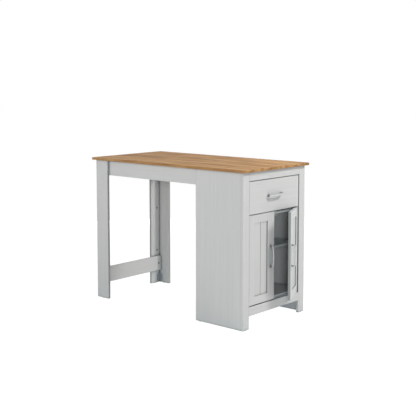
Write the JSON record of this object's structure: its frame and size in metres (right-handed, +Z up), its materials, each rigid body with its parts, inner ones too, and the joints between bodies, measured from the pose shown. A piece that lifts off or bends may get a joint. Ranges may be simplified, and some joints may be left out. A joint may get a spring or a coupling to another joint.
{
  "type": "kitchen table with storage cabinet",
  "caption": "Counter-height kitchen table: oak-look top on an open L-leg end and a grey cabinet end with a drawer above hinged doors.",
  "frame": {"origin": "on the floor under the middle of the table top", "axes": "+X towards the cabinet doors, +Y to the right of someone who faces the doors, +Z up"},
  "size_m": [1.2825, 0.6, 0.875],
  "materials": {
    "oak_laminate": "oak-effect laminate, satin",
    "grey_board": "light grey melamine-faced board, satin",
    "brushed_nickel": "satin nickel",
    "zinc_steel": "zinc-plated steel",
    "cast_zinc": "die-cast zinc",
    "nylon": "moulded nylon",
    "hardboard": "lacquered hardboard",
    "beech": "raw beech"
  },
  "bodies": {
    "frame": {"board_dowels": "beech", "bottom_rail": "grey_board", "cabinet_back": "grey_board", "cabinet_bottom": "grey_board", "cabinet_shelf": "grey_board", "cam_bolts": "zinc_steel", "cam_locks": "cast_zinc", "channel_shoes": "nylon", "divider_rail": "grey_board", "door_catches": "nylon", "drawer_channels": "zinc_steel", "end_apron": "grey_board", "face_frame_dowels": "beech", "foot_brackets": "zinc_steel", "glides": "nylon", "hinge_pins": "zinc_steel", "hinge_washers": "nylon", "left_apron": "grey_board", "left_cabinet_side": "grey_board", "left_leg_end_board": "grey_board", "left_leg_side_board": "grey_board", "left_runner_batten": "grey_board", "left_stile": "grey_board", "leg_stretcher": "grey_board", "lower_hinge_plates": "zinc_steel", "right_apron": "grey_board", "right_cabinet_side": "grey_board", "right_leg_end_board": "grey_board", "right_leg_side_board": "grey_board", "right_runner_batten": "grey_board", "right_stile": "grey_board", "shelf_pins": "zinc_steel", "table_top": "oak_laminate", "top_angles": "zinc_steel", "top_rail": "grey_board", "upper_hinge_plates": "zinc_steel"},
    "drawer": {"drawer_back": "grey_board", "drawer_bottom": "hardboard", "drawer_cam_bolts": "zinc_steel", "drawer_cams": "cast_zinc", "drawer_front": "grey_board", "drawer_handle": "brushed_nickel", "drawer_handle_screws": "zinc_steel", "drawer_left_side": "grey_board", "drawer_right_side": "grey_board", "drawer_slide_shoes": "nylon", "drawer_slide_strips": "zinc_steel"},
    "left_door": {"left_door_handle": "brushed_nickel", "left_door_handle_screws": "zinc_steel", "left_door_panel": "grey_board", "left_door_pivot_plates": "zinc_steel", "left_door_strike_plate": "zinc_steel"},
    "right_door": {"right_door_handle": "brushed_nickel", "right_door_handle_screws": "zinc_steel", "right_door_panel": "grey_board", "right_door_pivot_plates": "zinc_steel", "right_door_strike_plate": "zinc_steel"}
  },
  "joints": [
    {"name": "drawer_slide", "type": "slide", "parent": "frame", "child": "drawer", "axis": [1, 0, 0], "range_m": [0, 0.23]},
    {"name": "left_door_hinge", "type": "hinge", "parent": "frame", "child": "left_door", "pos_m": [0.5735, -0.217, 0.3755], "axis": [0, 0, -1], "range_deg": [0, 110]},
    {"name": "right_door_hinge", "type": "hinge", "parent": "frame", "child": "right_door", "pos_m": [0.5735, 0.217, 0.3755], "axis": [0, 0, 1], "range_deg": [-26, 84]}
  ]
}
